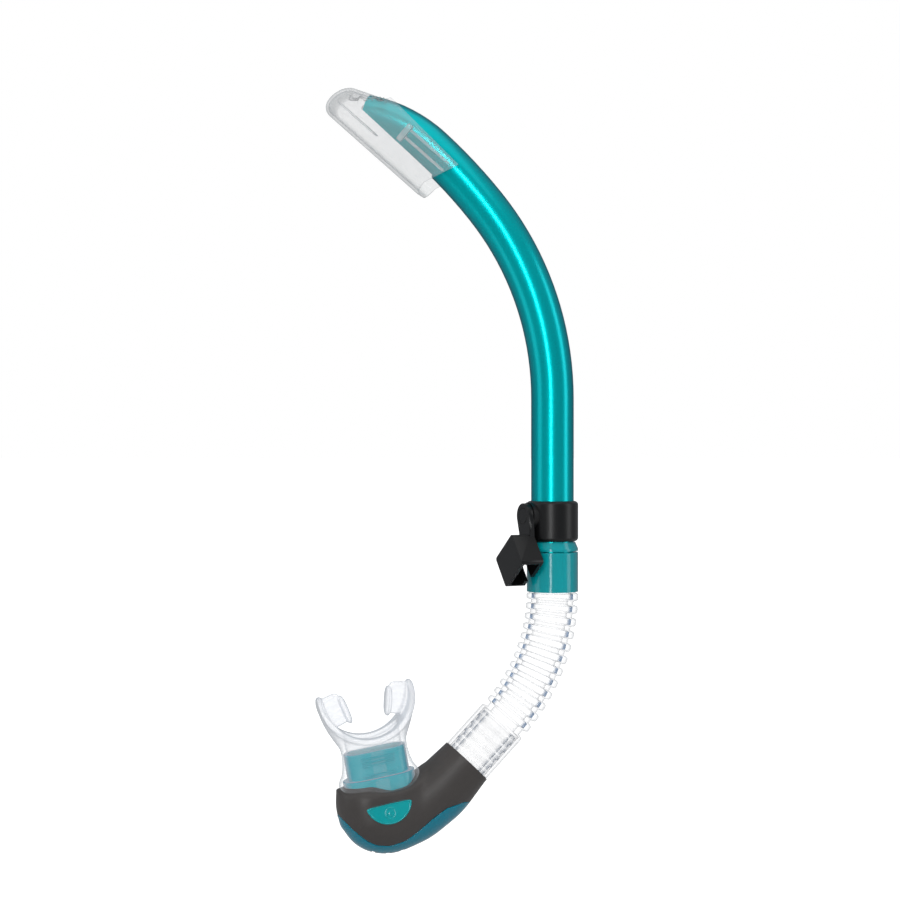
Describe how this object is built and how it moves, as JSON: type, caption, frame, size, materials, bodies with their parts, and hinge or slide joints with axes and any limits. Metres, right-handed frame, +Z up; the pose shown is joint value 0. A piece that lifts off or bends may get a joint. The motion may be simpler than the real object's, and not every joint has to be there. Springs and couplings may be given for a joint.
{
  "type": "snorkel tube",
  "caption": "Diving snorkel with a bent barrel, clear splash guard, strap keeper, ribbed flexible hose, purge chamber and silicone bite mouthpiece.",
  "frame": {"origin": "on the barrel's axis, at the keeper's mid height in its stored place", "axes": "+Z up the straight barrel towards the splash guard; the barrel bends towards -X in the XZ plane"},
  "size_m": [0.1402, 0.0751, 0.4122],
  "materials": {
    "metallic_teal": "pearl satin",
    "translucent_teal": "clear gloss",
    "gloss_teal": "gloss",
    "clear_plastic": "clear gloss",
    "clear_silicone": "clear satin",
    "grey_elastomer": "satin",
    "black_plastic": "fine matt",
    "black_rubber": "matt"
  },
  "bodies": {
    "barrel": {"barrel_tube": "metallic_teal", "splash_guard": "clear_plastic", "barrel_ring": "translucent_teal"},
    "keeper_slider": {"keeper_liner": "black_rubber"},
    "keeper": {"keeper_collar": "black_plastic", "pivot_button": "black_plastic"},
    "clip": {"strap_clip": "black_plastic"},
    "hose_top": {"swivel_coupler": "translucent_teal", "coupler_seal": "black_rubber", "flex_hose": "clear_silicone"},
    "mouth_unit": {"hose_connector": "clear_plastic", "chamber_body": "translucent_teal", "grip_shell": "grey_elastomer", "purge_cover": "gloss_teal", "badge_insert": "gloss_teal", "valve_seat": "clear_plastic", "mouthpiece": "clear_silicone"},
    "valve_flap": {"purge_valve": "clear_silicone"}
  },
  "joints": [
    {"name": "keeper_slide", "type": "slide", "parent": "barrel", "child": "keeper_slider", "axis": [0, 0, 1], "range_m": [0, 0.054]},
    {"name": "keeper_turn", "type": "hinge", "parent": "keeper_slider", "child": "keeper", "pos_m": [0, 0, 0], "axis": [0, 0, 1], "continuous": true},
    {"name": "clip_swivel", "type": "hinge", "parent": "keeper", "child": "clip", "pos_m": [-0.01295, -0.01023, 0.003], "axis": [-0.7848, -0.6198, 0], "continuous": true},
    {"name": "hose_swivel", "type": "hinge", "parent": "barrel", "child": "hose_top", "pos_m": [0, 0, -0.0166], "axis": [0, 0, 1], "continuous": true},
    {"name": "hose_bend", "type": "hinge", "parent": "hose_top", "child": "mouth_unit", "pos_m": [0, 0, -0.0779], "axis": [-0.4067, 0.9135, 0], "range_deg": [-43, 30], "stiffness_Nm_per_rad": 1.2, "springref_deg": 1.72, "deforming": ["flex_hose"]},
    {"name": "purge_lift", "type": "slide", "parent": "mouth_unit", "child": "valve_flap", "axis": [0, 0, -1], "range_m": [0, 0.0015], "stiffness_N_per_m": 60}
  ]
}
